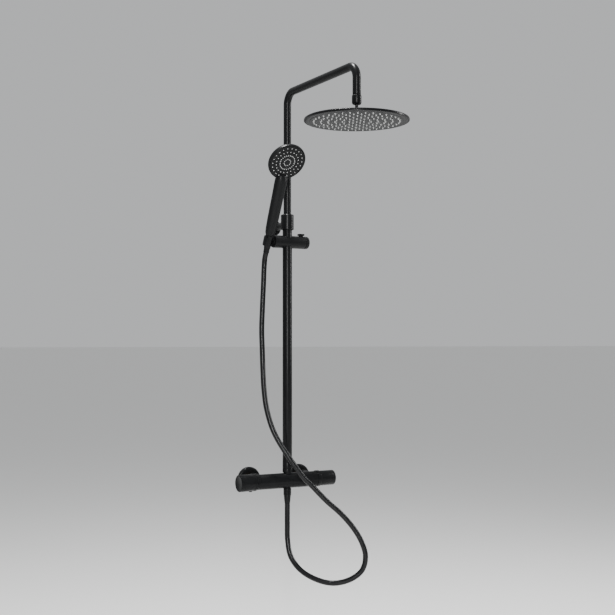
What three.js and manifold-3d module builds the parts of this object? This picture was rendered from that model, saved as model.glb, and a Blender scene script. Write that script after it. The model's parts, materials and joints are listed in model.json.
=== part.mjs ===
// Rainfall shower column: a thermostatic bar valve, a telescoping riser with an overhead rain head,
// and a hand shower in a tilting holder on a slider.
//
// Millimetres, +Z up. The origin is on the wall plane, midway between the two inlets and at the height
// of the valve's axis. +X is to the right seen from the room, and the column stands in -Y.
import * as THREE from 'three';
import { mergeVertices } from 'three/addons/utils/BufferGeometryUtils.js';
import Module from 'manifold-3d';

const wasm = await Module();
wasm.setup();

// ---- Driving dimensions ----

const gap = 0.3; // clearance kept between pieces that touch
const small = 8; // sides of a screw or a small hole
const plain = 12; // sides of an ordinary round piece
const bent = 16; // sides of the bent tube
const fine = 20; // sides of a large round piece, or one that turns in another
const showerSides = 28; // sides of the hand shower's disc
const disc = 36; // sides of the rain head
const reach = 82; // wall to the axes of the valve and the riser

// Valve bar
const inletSpacing = 150;
const barRadius = 20;
const barWall = 3.5;
const barHalf = inletSpacing / 2 + 19.5;
const waterBore = 7;

// Wall connections, as distances from the wall
const escutcheonRadius = 32;
const escutcheonDepth = 11;
const escutcheonWall = 2.5;
const unionThreadRadius = 13;
const unionTailRadius = 10.3;
const unionFlangeRadius = 14;
const unionTail = 20;
const unionLength = 40.4;
const unionNutRadius = 18;
const unionNutLength = 30;
const unionNutEnd = 6.4;
const unionNutChamfer = 1.5;
const stubRadius = 11;
const stubFlange = 6;
const filterThickness = 2;
const filterBore = 3;
const sealGap = 0.3;

// Controls, as distances from the middle of the bar
const cartridgeLength = 43.5;
const cartridgeEnd = barHalf - 11;
const cartridgeStart = cartridgeEnd - cartridgeLength;
const cartridgeNoseRadius = 9;
const spindleRadius = 4.5;
const spindleStart = barHalf - 30.5;
const handleStart = barHalf + 0.5;
const handleSkirt = 3;
const handleWebStart = handleStart + 25;
const handleWeb = 8;
const handleHubRadius = 8;
const handleHubStart = handleStart + 5;
const screwHeadRadius = 4;
const temperatureHandleRadius = 22;
const temperatureHandleLength = 47;
const flowHandleRadius = 20;
const flowHandleLength = 43;
const trimRingRadius = 21.5;
const trimRingWidth = 9.5;
const screwRadius = 2.2;

// Safety button in the temperature handle
const buttonRadius = 4.5;
const buttonPlace = handleStart + 13;
const buttonStand = 1.6;
const buttonFlange = 1.2;
const springWire = 0.5;
const springRadius = 3;

// Riser: the upper tube slides in the lower one
const upperRadius = 10;
const upperWall = 1.4;
const upperPlay = 1.1;
const riserWall = 1.4;
const riserRadius = upperRadius + upperPlay + riserWall;
const riserTop = 690;
const nutHeight = 10.2;
const connectorTop = 50.5;
const connectorBore = 6;
const connectorNeck = 8.5;
const spigotLength = 21.5;
const upperBottom = riserTop - 134;

// Bracket
const collarRadius = riserRadius + 4.5;
const collarBottom = riserTop - 29;
const collarTop = riserTop + 11;
const postRadius = 10;
const postHeight = collarBottom + 13;
const postWall = 1.7;
const bossLength = 15.5;
const rosetteRadius = 22;
const rosetteDepth = 6;
const wallScrewRadius = 2.5;
const wallScrewLength = 44;

// Arm and rain head
const armHeight = riserTop + 331;
const armReach = 350;
const bendRadius = 32;
const bendSteps = 6;
const dropEnd = armHeight - 71;
const ballHeight = dropEnd - 18;
const ballRadius = 8;
const ballNutRadius = 11.5;
const stemRadius = 3.8;
const hubRadius = 9;
const headBottom = ballHeight - 46;
const headRadius = 125;
const headRim = 5.5;
const headHubHeight = 16;
const facePlateThickness = 2;
const matThickness = 1.7;

// Slider
const sliderHeight = collarBottom - 32;
const sliderRadius = riserRadius + 4;
const sliderRight = 49.3;
const sliderCapLength = 11.4;
const bushWall = 1.4;
const bushHalf = 7;
const sliderBore = 12;
const pivotBore = 9.3;
const pivotDepth = 18.2;
const tabWidth = 12;
const tabLength = 15.6;
const tabPlace = 40.8;
const tabTravel = 1.5;
const tabThickness = 4.7;
const tabStemLeft = 4.8;
const tabStemRight = 4.2;
const tabStemPlay = 0.4;

// Holder and hand shower, along the cone's leaning axis
const holderStand = 43.5; // riser's surface to the holder's axis
const holderPlace = riserRadius + holderStand;
const holderLean = THREE.MathUtils.degToRad(25.6);
const holderRadius = 13.8;
const sliderGap = 0.5;
const sliderLeft = holderPlace - holderRadius - sliderGap;
const holderHalf = 12;
const coneBottom = -20;
const coneTop = 16;
const coneBottomRadius = 8.6;
const coneTopRadius = 11;
const holderPlay = 0.36;
const hoseSlot = 15;
const gripRadius = 15.9;
const handleFlatness = 0.86;
const faceDistance = 217.2;
const faceForward = 14;
const faceTurn = THREE.MathUtils.degToRad(14.4);
const showerRadius = 50;
const showerDepth = 18;
const showerFaceRadius = showerRadius - 3.5;

// Hose
const hoseRadius = 7;
const hoseBore = 3.5;
const hoseNutRadius = 10.3;
const hoseNutLength = 17.6;
const ferruleEnd = 60;
const hoseSides = 8;
const hoseSteps = 60;

// ---- Shape helpers ----

// A geometry with shared vertices, no empty triangles and its faces pointing out.
function weld(geometry) {
  const bare = geometry.clone();
  bare.deleteAttribute('normal');
  bare.deleteAttribute('uv');
  const merged = mergeVertices(bare, 1e-4);
  const corners = merged.index.array;
  const kept = [];
  for (let i = 0; i < corners.length; i += 3) {
    const [a, b, c] = corners.slice(i, i + 3);
    if (a !== b && b !== c && c !== a) kept.push(a, b, c);
  }
  const place = merged.attributes.position;
  const [p, q, r] = [new THREE.Vector3(), new THREE.Vector3(), new THREE.Vector3()];
  let volume = 0;
  for (let i = 0; i < kept.length; i += 3) {
    p.fromBufferAttribute(place, kept[i]);
    q.fromBufferAttribute(place, kept[i + 1]);
    r.fromBufferAttribute(place, kept[i + 2]);
    volume += p.dot(q.cross(r));
  }
  if (volume < 0) kept.reverse();
  merged.setIndex(kept);
  return merged;
}

function toSolid(geometry) {
  const welded = weld(geometry);
  const vertProperties = new Float32Array(welded.attributes.position.array);
  const triVerts = new Uint32Array(welded.index.array);
  return new wasm.Manifold(new wasm.Mesh({ numProp: 3, vertProperties, triVerts }));
}

function toGeometry(solid) {
  const mesh = solid.getMesh();
  const geometry = new THREE.BufferGeometry();
  geometry.setAttribute('position', new THREE.BufferAttribute(mesh.vertProperties, 3));
  geometry.setIndex(Array.from(mesh.triVerts));
  return geometry;
}

function join(...geometries) {
  return toGeometry(geometries.map(toSolid).reduce((whole, next) => whole.add(next)));
}

function cut(geometry, ...tools) {
  return toGeometry(tools.map(toSolid).reduce((whole, next) => whole.subtract(next), toSolid(geometry)));
}

// A turned piece about +Z. The profile is a list of [radius, height].
function turned(profile, sides = plain) {
  const points = profile.map(([radius, height]) => new THREE.Vector2(radius, height));
  return weld(new THREE.LatheGeometry(points, sides).rotateX(Math.PI / 2));
}

function rod(radius, from, to, sides = plain) {
  return turned([[0, from], [radius, from], [radius, to], [0, to]], sides);
}

// A turned piece with a hole through it: the profile closes on itself.
function hollow(profile, sides = plain) {
  return turned([...profile, profile[0]], sides);
}

function ring(inner, outer, from, to, sides = plain) {
  return hollow([[inner, from], [outer, from], [outer, to], [inner, to]], sides);
}

function block([x0, y0, z0], [x1, y1, z1]) {
  const box = new THREE.BoxGeometry(x1 - x0, y1 - y0, z1 - z0);
  return box.translate((x0 + x1) / 2, (y0 + y1) / 2, (z0 + z1) / 2);
}

const towardsX = (geometry) => geometry.clone().rotateY(Math.PI / 2);
const towardsY = (geometry) => geometry.clone().rotateX(-Math.PI / 2);

// A curve through stations that each know their own direction, so a bend gets steps and a straight
// run gets none.
class StationCurve extends THREE.Curve {
  constructor(stations) {
    super();
    this.stations = stations;
  }
  station(u) {
    return this.stations[Math.round(u * (this.stations.length - 1))];
  }
  getPoint(t, target = new THREE.Vector3()) {
    return target.copy(this.station(t).place);
  }
  getPointAt(u, target) {
    return this.getPoint(u, target);
  }
  getTangentAt(u, target = new THREE.Vector3()) {
    return target.copy(this.station(u).heading);
  }
}

function circle(radius, sides, Kind = THREE.Shape) {
  const corner = (k) => new THREE.Vector2(
    radius * Math.cos((2 * Math.PI * k) / sides), radius * Math.sin((2 * Math.PI * k) / sides));
  return new Kind(Array.from({ length: sides }, (_, k) => corner(k)));
}

function sweep(section, path, steps) {
  return weld(new THREE.ExtrudeGeometry(section, { steps, extrudePath: path, bevelEnabled: false }));
}

function coilSpring(radius, from, to, turns) {
  const steps = turns * 8;
  const points = Array.from({ length: steps + 1 }, (_, k) => new THREE.Vector3(
    radius * Math.cos((2 * Math.PI * turns * k) / steps),
    radius * Math.sin((2 * Math.PI * turns * k) / steps),
    from + ((to - from) * k) / steps));
  const path = new THREE.CatmullRomCurve3(points);
  return sweep(circle(springWire, 5), path, steps);
}

// ---- Materials and placing ----

const looks = {
  black: { color: 0x17181a, roughness: 0.42, metalness: 0.55 },
  blackPlastic: { color: 0x1a1b1d, roughness: 0.5, metalness: 0 },
  brass: { color: 0xb08d4a, roughness: 0.35, metalness: 1 },
  steel: { color: 0xb9bcc0, roughness: 0.3, metalness: 1 },
  rubber: { color: 0x202122, roughness: 0.85, metalness: 0 },
  silicone: { color: 0xb9bbb9, roughness: 0.6, metalness: 0 },
  whitePlastic: { color: 0xe4e4de, roughness: 0.5, metalness: 0 },
};

const column = new THREE.Group();

function assembly(parent, at, turn = [0, 0, 0]) {
  const group = new THREE.Group();
  group.position.set(...at);
  group.rotation.set(...turn);
  parent.add(group);
  return group;
}

function piece(parent, name, look, geometry) {
  const mesh = new THREE.Mesh(geometry, new THREE.MeshStandardMaterial(looks[look]));
  mesh.name = name;
  parent.add(mesh);
}

// ---- Valve ----

const valve = assembly(column, [0, -reach, 0]);
const barBore = barRadius - barWall;
const stubFace = unionLength + 2 * sealGap + filterThickness; // wall to the inlet stub's sealing face
const nippleRadius = 10;
const nippleTop = barRadius + 5;
const outletRadius = 8.3;
const outletBottom = -barRadius - 11;

function valveBody() {
  const reachBack = barRadius - barWall / 2;
  const parts = [
    towardsX(ring(barBore, barRadius, -barHalf, barHalf, fine)),
    towardsX(ring(barBore + 1, trimRingRadius, barHalf - trimRingWidth, barHalf, fine)),
  ];
  const bores = [];
  for (const side of [-1, 1]) {
    const x = (side * inletSpacing) / 2;
    const face = reach - stubFace;
    parts.push(towardsY(rod(stubRadius, reachBack, face)).translate(x, 0, 0));
    parts.push(towardsY(rod(unionThreadRadius, face - stubFlange, face)).translate(x, 0, 0));
    bores.push(towardsY(rod(waterBore, barBore / 2, face + 1)).translate(x, 0, 0));
  }
  parts.push(rod(nippleRadius, reachBack, nippleTop));
  parts.push(rod(outletRadius, outletBottom, -reachBack));
  bores.push(rod(waterBore - 0.5, barBore / 2, nippleTop + 1));
  bores.push(rod(hoseBore + 1, outletBottom - 1, -barBore / 2));
  return cut(join(...parts), ...bores);
}

piece(valve, 'valve_body', 'black', valveBody());

// Each inlet stands straight out of the wall: its axis is the wall's normal.
for (const [side, word] of [[-1, 'left'], [1, 'right']]) {
  const inlet = assembly(column, [(side * inletSpacing) / 2, 0, 0], [Math.PI / 2, 0, 0]);
  const nutEnd = stubFace + stubFlange + gap;
  piece(inlet, `wall_union_${word}`, 'brass', hollow([
    [waterBore, -unionTail], [unionTailRadius, -unionTail], [unionTailRadius, 2],
    [unionFlangeRadius, 2], [unionFlangeRadius, 7],
    [unionThreadRadius, 7], [unionThreadRadius, unionLength], [waterBore, unionLength],
  ]));
  const rim = escutcheonRadius - 3.5;
  const hole = unionThreadRadius + gap;
  piece(inlet, `escutcheon_${word}`, 'black', hollow([
    [rim, 0], [escutcheonRadius, 0], [escutcheonRadius, escutcheonDepth - 3.5],
    [escutcheonRadius - 1.5, escutcheonDepth - 1], [escutcheonRadius - 5, escutcheonDepth],
    [hole, escutcheonDepth], [hole, escutcheonDepth - escutcheonWall],
    [rim, escutcheonDepth - escutcheonWall],
  ], fine));
  const nutFinish = nutEnd + unionNutEnd;
  const nutStart = nutFinish - unionNutLength;
  piece(inlet, `union_nut_${word}`, 'black', hollow([
    [hole, nutStart], [unionNutRadius - unionNutChamfer, nutStart],
    [unionNutRadius, nutStart + unionNutChamfer], [unionNutRadius, nutFinish - unionNutChamfer],
    [unionNutRadius - unionNutChamfer, nutFinish],
    [stubRadius + gap, nutFinish], [stubRadius + gap, nutEnd], [hole, nutEnd],
  ]));
  const filterFrom = unionLength + sealGap;
  piece(inlet, `inlet_filter_${word}`, 'rubber',
    ring(filterBore, unionThreadRadius - gap, filterFrom, filterFrom + filterThickness));
  piece(inlet, `check_valve_${word}`, 'whitePlastic',
    ring(filterBore, waterBore - gap, stubFace + 1, reach - barBore - 5));
}

// One control at an end of the bar, built outwards along +Z from the middle of the bar.
function control(group, word, inner, handleRadius, handleLength, handleGeometry = (shell) => shell) {
  const cartridgeRadius = barBore - gap;
  const handleEnd = handleStart + handleLength;
  const webEnd = handleWebStart + handleWeb;
  const spindleEnd = webEnd - 2 - gap;
  const bore = spindleRadius + gap;
  const capSeat = handleRadius - 1.5;
  piece(group, `${inner}_cartridge`, 'whitePlastic', turned([
    [0, cartridgeStart], [cartridgeNoseRadius, cartridgeStart], [cartridgeNoseRadius, cartridgeStart + 6],
    [cartridgeRadius, cartridgeStart + 6], [cartridgeRadius, cartridgeEnd], [bore, cartridgeEnd],
    [bore, spindleStart - gap], [0, spindleStart - gap],
  ]));
  piece(group, `${inner}_retaining_nut`, 'brass',
    ring(spindleRadius + 2, cartridgeRadius, cartridgeEnd + 0.5, barHalf - gap));
  piece(group, `${word}_spindle`, 'brass', turned([
    [0, spindleStart], [spindleRadius, spindleStart], [spindleRadius, spindleEnd],
    [screwRadius + gap, spindleEnd], [screwRadius + gap, spindleEnd - 14], [0, spindleEnd - 14],
  ], plain));
  const shell = hollow([
    [handleRadius, handleStart], [handleRadius, handleEnd - 1], [handleRadius - 1, handleEnd],
    [capSeat, handleEnd], [capSeat, handleEnd - 3], [capSeat - 1.5, handleEnd - 3], [capSeat - 1.5, webEnd],
    [screwRadius + gap, webEnd], [screwRadius + gap, webEnd - 2], [bore, webEnd - 2],
    [bore, handleHubStart], [handleHubRadius, handleHubStart], [handleHubRadius, handleWebStart],
    [handleRadius - handleSkirt, handleWebStart], [handleRadius - handleSkirt, handleStart],
  ], fine);
  piece(group, `${word}_handle`, 'black', handleGeometry(shell));
  piece(group, `${word}_handle_screw`, 'steel', turned([
    [0, spindleEnd - 12], [screwRadius, spindleEnd - 12], [screwRadius, webEnd + gap],
    [screwHeadRadius, webEnd + gap], [screwHeadRadius, webEnd + 2.5], [0, webEnd + 2.5],
  ], small));
  piece(group, `${word}_handle_cap`, 'black', turned([
    [0, handleEnd - 3 + gap], [capSeat - gap, handleEnd - 3 + gap], [capSeat - gap, handleEnd - 0.5],
    [capSeat - 0.8, handleEnd], [0, handleEnd],
  ], fine));
}

// The left end holds the thermostat. The safety button looks down, out of sight.
const leftEnd = assembly(valve, [0, 0, 0], [0, -Math.PI / 2, 0]);
const buttonHole = rod(buttonRadius + gap, handleHubRadius + 4, temperatureHandleRadius + 2)
  .rotateY(-Math.PI / 2).translate(0, 0, buttonPlace);
control(leftEnd, 'temperature', 'thermostat', temperatureHandleRadius, temperatureHandleLength,
  (shell) => cut(shell, buttonHole));
const flangeTop = temperatureHandleRadius - handleSkirt - 1.4;
const flangeBottom = flangeTop - buttonFlange;
const button = assembly(leftEnd, [0, 0, buttonPlace], [0, -Math.PI / 2, 0]);
piece(button, 'stop_button', 'blackPlastic', turned([
  [0, flangeBottom], [buttonRadius + 1.1, flangeBottom], [buttonRadius + 1.1, flangeTop],
  [buttonRadius, flangeTop], [buttonRadius, temperatureHandleRadius + buttonStand - 0.5],
  [buttonRadius - 0.5, temperatureHandleRadius + buttonStand], [0, temperatureHandleRadius + buttonStand],
], plain));
piece(button, 'stop_button_spring', 'steel',
  coilSpring(springRadius, handleHubRadius + springWire + gap, flangeBottom - springWire - gap, 3));

// The right end holds the flow control.
const rightEnd = assembly(valve, [0, 0, 0], [0, Math.PI / 2, 0]);
control(rightEnd, 'flow', 'flow', flowHandleRadius, flowHandleLength);

// ---- Riser ----

const riser = assembly(column, [0, -reach, 0]);
const washerTop = nippleTop + gap + 1.6;
const flangeFrom = washerTop + gap;
const nutBottom = barRadius + 1.2;
const nutTop = nutBottom + nutHeight;
const riserBore = riserRadius - riserWall;

piece(riser, 'riser_washer', 'rubber',
  ring(waterBore - 0.5, nippleRadius - gap, nippleTop + gap, washerTop));
piece(riser, 'riser_nut', 'black', hollow([
  [nippleRadius + gap, nutBottom], [riserRadius + 0.3, nutBottom], [riserRadius + 0.3, nutTop],
  [connectorNeck + gap, nutTop], [connectorNeck + gap, nutTop - 1.9], [nippleRadius + gap, nutTop - 1.9],
]));
piece(riser, 'riser_connector', 'black', hollow([
  [connectorBore, flangeFrom], [nippleRadius, flangeFrom], [nippleRadius, flangeFrom + 2],
  [connectorNeck, flangeFrom + 2], [connectorNeck, nutTop + gap], [riserRadius + 0.2, nutTop + gap],
  [riserRadius + 0.2, connectorTop],
  [riserBore - gap, connectorTop], [riserBore - gap, connectorTop + spigotLength],
  [connectorBore, connectorTop + spigotLength],
]));
piece(riser, 'lower_riser', 'black', ring(riserBore, riserRadius, connectorTop + gap, riserTop, fine));

// Collar and wall post, one casting.
const clampHeight = (riserTop + collarTop) / 2 + gap;
const grubPlace = reach - bossLength / 2;
const postBore = postRadius - postWall;
function bracketCasting() {
  const outside = join(
    rod(collarRadius, collarBottom, collarTop, fine),
    towardsY(rod(postRadius, collarRadius / 2, reach - 2 * gap)).translate(0, 0, postHeight));
  return cut(outside,
    rod(riserRadius + gap, collarBottom - 1, riserTop + gap, fine),
    rod(upperRadius + gap, riserTop, collarTop + 1, fine),
    towardsY(rod(postBore, reach - bossLength - 1, reach)).translate(0, 0, postHeight),
    towardsX(rod(wallScrewRadius + gap, upperRadius, collarRadius + 1, small)).translate(0, 0, clampHeight),
    rod(wallScrewRadius, -postRadius - 1, 0, small).translate(0, grubPlace, postHeight));
}
piece(riser, 'riser_bracket', 'black', bracketCasting());
const clampScrew = assembly(riser, [0, 0, clampHeight], [0, Math.PI / 2, 0]);
piece(clampScrew, 'collar_grub_screw', 'steel',
  rod(wallScrewRadius, upperRadius + 2 * gap, collarRadius - gap, small));

const post = assembly(column, [0, 0, postHeight], [Math.PI / 2, 0, 0]);
piece(post, 'wall_rosette', 'black', hollow([
  [postRadius + gap, 0], [rosetteRadius, 0], [rosetteRadius, rosetteDepth - 2],
  [rosetteRadius - 2, rosetteDepth], [postRadius + gap, rosetteDepth],
], fine));
const boss = hollow([
  [wallScrewRadius + gap, 0], [postBore - gap, 0], [postBore - gap, bossLength], [5.5, bossLength],
  [5.5, bossLength - 3.5], [wallScrewRadius + gap, bossLength - 3.5],
]);
const dimple = rod(wallScrewRadius, 4.6, postBore, small)
  .rotateX(Math.PI / 2).translate(0, 0, bossLength / 2);
piece(post, 'bracket_plate', 'steel', cut(boss, dimple));
piece(post, 'wall_screw', 'steel', turned([
  [0, bossLength - 3.2 - wallScrewLength], [wallScrewRadius, bossLength - 3.2 - wallScrewLength],
  [wallScrewRadius, bossLength - 3.2], [5, bossLength - 3.2], [5, bossLength - 1], [0, bossLength - 1],
], plain));
const postScrew = assembly(riser, [0, grubPlace, postHeight], [Math.PI, 0, 0]);
piece(postScrew, 'post_grub_screw', 'steel', rod(wallScrewRadius - gap, 5, postRadius - 0.2, small));

// Telescope
piece(riser, 'guide_bush', 'whitePlastic',
  ring(upperRadius + gap, riserBore - gap, upperBottom + 16, upperBottom + 36, fine));

// Upper riser, arm and drop: one bent tube in the plane x = 0.
function armStations() {
  const stations = [];
  const add = (y, z, angle) => stations.push({
    place: new THREE.Vector3(0, y, z),
    heading: new THREE.Vector3(0, -Math.sin(angle), Math.cos(angle)),
  });
  const bend = (y, z, from) => {
    for (let k = 0; k <= bendSteps; k += 1) {
      const angle = from + (Math.PI / 2) * (k / bendSteps);
      add(y - bendRadius * (1 - Math.cos(angle)), z + bendRadius * Math.sin(angle), angle);
    }
  };
  add(0, upperBottom, 0);
  bend(0, armHeight - bendRadius, 0);
  bend(2 * bendRadius - armReach, armHeight - bendRadius, Math.PI / 2);
  add(-armReach, dropEnd, Math.PI);
  return stations;
}
function bentTube() {
  const section = circle(upperRadius, bent);
  section.holes.push(circle(upperRadius - upperWall, bent, THREE.Path));
  const stations = armStations();
  const path = new StationCurve(stations);
  return sweep(section, path, stations.length - 1);
}
piece(riser, 'upper_riser', 'black', bentTube());

// ---- Rain head ----

const drop = assembly(riser, [0, -armReach, 0]);
const threadRadius = 9.5;
const nutBore = threadRadius + gap;
const seatBottom = ballHeight + 5.2;
const flangeDrop = dropEnd - gap;
piece(drop, 'arm_end_fitting', 'black', hollow([
  [4, seatBottom + 4.3], [7.2, seatBottom], [threadRadius, seatBottom], [threadRadius, flangeDrop - 2.7],
  [upperRadius, flangeDrop - 2.7], [upperRadius, flangeDrop], [upperRadius - upperWall - gap, flangeDrop],
  [upperRadius - upperWall - gap, dropEnd + 16], [4, dropEnd + 16],
]));
piece(drop, 'ball_nut', 'black', hollow([
  [6.2, ballHeight - 6.5], [ballNutRadius - 2, ballHeight - 6.5], [ballNutRadius, ballHeight - 2.5],
  [ballNutRadius, flangeDrop - 2.7 - gap], [nutBore, flangeDrop - 2.7 - gap], [nutBore, ballHeight - 4],
  [6.2, ballHeight - 6],
]));
piece(drop, 'ball_seat', 'whitePlastic',
  ring(ballRadius + gap, nutBore - 0.6, ballHeight - 1.5, ballHeight + 1.5));

function ballStem() {
  const bore = 2;
  const hubBottom = headBottom + 10.2;
  const hubTop = headBottom + headHubHeight + 4;
  const start = Math.asin(stemRadius / ballRadius);
  const end = Math.PI - Math.asin(bore / ballRadius);
  const onBall = (angle) => [ballRadius * Math.sin(angle), ballHeight - ballRadius * Math.cos(angle)];
  const ball = Array.from({ length: 9 }, (_, k) => onBall(start + ((end - start) * k) / 8));
  const hub = [[bore, hubBottom], [hubRadius, hubBottom], [hubRadius, hubTop], [stemRadius, hubTop]];
  return hollow([...hub, ...ball]);
}
piece(drop, 'ball_stem', 'black', ballStem());

const head = assembly(drop, [0, 0, headBottom]);
const faceEdge = headRadius - 2.7;
piece(head, 'head_shell', 'black', hollow([
  [hubRadius + gap, headHubHeight], [15, headHubHeight], [18, 9.2], [headRadius - 7, headRim + 2],
  [headRadius - 1, headRim], [headRadius, headRim - 2.5], [headRadius, 0.6], [headRadius - 0.6, 0],
  [faceEdge, 0], [faceEdge, headRim - 0.5], [20, 5.9], [5, 5.9], [5, 7.4], [hubRadius + gap, 7.4],
], disc));
const matFrom = facePlateThickness + gap;
piece(head, 'head_face_plate', 'black', rod(faceEdge - gap, 0, facePlateThickness, disc));
piece(head, 'head_nozzle_mat', 'silicone', rod(faceEdge - 3, matFrom, matFrom + matThickness, disc));

// ---- Slider ----

const slider = assembly(riser, [0, 0, sliderHeight]);
const bushBore = riserRadius + gap;
const tabStemHalf = tabWidth / 3;
piece(slider, 'slider_bush', 'whitePlastic', ring(bushBore, bushBore + bushWall, -bushHalf, bushHalf, fine));
function sliderBody() {
  const partition = sliderLeft - pivotDepth;
  const stemHole = tabStemHalf + tabStemPlay;
  return cut(towardsX(rod(sliderRadius, -sliderLeft, sliderRight, fine)),
    rod(bushBore, -sliderRadius - 1, sliderRadius + 1, fine),
    rod(bushBore + bushWall + gap, -bushHalf - gap, bushHalf + gap, fine),
    towardsX(rod(sliderBore, bushBore + 5.2, sliderRight + 1, fine)),
    towardsX(rod(pivotBore, -sliderLeft - 1, -partition, fine)),
    towardsX(rod(screwRadius + 2 * gap, -partition - 1, -bushBore, small)),
    towardsX(rod(5, 4 - partition, -bushBore, small)),
    block([tabPlace - tabStemLeft - tabStemPlay, -stemHole, sliderBore - 4],
      [tabPlace + tabStemRight + tabStemPlay, stemHole, sliderRadius + 1]));
}
piece(slider, 'slider_body', 'black', sliderBody());
const sliderEnd = assembly(slider, [sliderRight + gap, 0, 0], [0, Math.PI / 2, 0]);
piece(sliderEnd, 'slider_end_cap', 'black', turned([
  [0, 2], [sliderBore - 3, 2], [sliderBore - 3, -3], [sliderBore - gap, -3], [sliderBore - gap, 0],
  [sliderRadius, 0], [sliderRadius, sliderCapLength - 4], [sliderRadius - 1.2, sliderCapLength - 1.5],
  [sliderRadius - 4, sliderCapLength], [0, sliderCapLength],
], fine));
const tabBottom = sliderRadius + tabTravel + gap;
const stemBottom = 9;
piece(slider, 'release_tab', 'blackPlastic', join(
  block([tabPlace - tabLength / 2, -tabWidth / 2, tabBottom],
    [tabPlace + tabLength / 2, tabWidth / 2, tabBottom + tabThickness]),
  block([tabPlace - tabStemLeft, -tabStemHalf, stemBottom],
    [tabPlace + tabStemRight, tabStemHalf, tabBottom + 1])));
const tabSpring = assembly(slider, [tabPlace + (tabStemRight - tabStemLeft) / 2, 0, 0]);
piece(tabSpring, 'tab_spring', 'steel',
  coilSpring(springRadius, springWire + gap + 0.6 - sliderBore, stemBottom - springWire - gap, 5));
const pivotScrew = assembly(slider, [0, 0, 0], [0, -Math.PI / 2, 0]);
const screwHeadFrom = sliderLeft - pivotDepth - 4;
piece(pivotScrew, 'holder_screw', 'steel', turned([
  [0, screwHeadFrom - 3.4], [screwHeadRadius, screwHeadFrom - 3.4],
  [screwHeadRadius, screwHeadFrom - gap], [screwRadius, screwHeadFrom - gap],
  [screwRadius, sliderLeft - 5], [0, sliderLeft - 5],
], small));

// ---- Holder and hand shower ----

const holder = assembly(slider, [-holderPlace, 0, 0], [holderLean, 0, 0]);
const coneRadius = (z) => coneBottomRadius
  + ((coneTopRadius - coneBottomRadius) * (z - coneBottom)) / (coneTop - coneBottom);
function holderCone() {
  const over = holderHalf + 1;
  const seat = turned([[0, -over], [coneRadius(-over) + holderPlay, -over],
    [coneRadius(over) + holderPlay, over], [0, over]]);
  const pivotEnd = holderPlace - sliderLeft + pivotDepth - 1.2;
  return cut(
    join(rod(holderRadius, -holderHalf, holderHalf, fine),
      towardsX(rod(pivotBore - gap, holderRadius / 2, pivotEnd, fine))),
    seat,
    block([-hoseSlot / 2, -holderRadius - 1, -over], [hoseSlot / 2, 0, over]),
    towardsX(rod(screwRadius + gap, holderPlace - sliderLeft + 4, pivotEnd + 1, small)));
}
piece(holder, 'holder', 'black', holderCone());

const hand = assembly(holder, [0, 0, 0]);
const insertRadius = 4.9;
const threadFrom = 5.3;
const handThread = 8;
piece(hand, 'hose_cone_nut', 'black', hollow([
  [insertRadius + gap, coneBottom], [coneBottomRadius, coneBottom], [coneTopRadius, coneTop],
  [handThread + gap, coneTop], [handThread + gap, 1], [insertRadius + gap, 1],
]));
piece(hand, 'hose_ferrule_top', 'black', hollow([
  [hoseBore, coneBottom - 12.3], [7.8, coneBottom - 12.3], [7.8, coneBottom - gap],
  [insertRadius, coneBottom - gap], [insertRadius, 1 + gap], [handThread, 1 + gap],
  [handThread, threadFrom - 2.3], [hoseBore, threadFrom - 2.3],
]));

const faceAt = [0, -faceForward, faceDistance];
const faceTilt = faceTurn - Math.PI / 2;
const onFace = (geometry) => geometry.clone().rotateX(faceTilt).translate(...faceAt);
function handShowerBody() {
  const grip = turned([
    [0, coneTop + gap], [coneTopRadius, coneTop + gap], [gripRadius - 2.4, 24], [gripRadius - 0.6, 60],
    [gripRadius, 120], [gripRadius + 0.8, 160], [gripRadius, 170], [gripRadius - 3.4, 179],
    [7, 185], [0, 187],
  ], fine).scale(1, handleFlatness, 1);
  const cup = turned([
    [0, 0.2], [showerRadius - 1, 0.2], [showerRadius, 2.5], [showerRadius, 7], [showerRadius - 4, 14],
    [showerRadius - 12, showerDepth], [0, showerDepth],
  ], showerSides);
  const recess = rod(showerFaceRadius + gap, -30, 5.4, showerSides);
  const chamber = rod(showerFaceRadius - 3.5, 5, showerDepth - 4.5, showerSides);
  return cut(
    join(grip, rod(handThread, threadFrom, 30), onFace(cup)),
    onFace(recess), onFace(chamber), rod(5.5, 0, 184));
}
piece(hand, 'hand_shower_body', 'black', handShowerBody());
const face = assembly(hand, faceAt, [faceTilt, 0, 0]);
piece(face, 'hand_shower_face', 'black', rod(showerFaceRadius, 0.5, 3.3, showerSides));
piece(face, 'hand_shower_nozzle_mat', 'silicone', rod(showerFaceRadius - 1.5, 3.6, 5, showerSides));

// ---- Hose ----

const neck = 7.1;
const nutLow = -barRadius - 0.6 - hoseNutLength;
piece(riser, 'hose_washer', 'rubber',
  ring(4, outletRadius - 0.1, outletBottom - gap - 1.8, outletBottom - gap));
piece(riser, 'hose_nut', 'black', hollow([
  [outletRadius + gap, -barRadius - 0.6], [hoseNutRadius, -barRadius - 0.6], [hoseNutRadius, nutLow],
  [neck + gap, nutLow], [neck + gap, nutLow + 2], [outletRadius + gap, nutLow + 2],
]));
piece(riser, 'hose_ferrule_bottom', 'black', hollow([
  [hoseBore, -ferruleEnd], [hoseRadius + 0.4, -ferruleEnd], [9.4, nutLow - gap], [neck, nutLow - gap],
  [neck, nutLow + 2 + gap], [outletRadius - 0.1, nutLow + 2 + gap], [outletRadius - 0.1, outletBottom - 2.4],
  [hoseBore, outletBottom - 2.4],
]));

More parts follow.
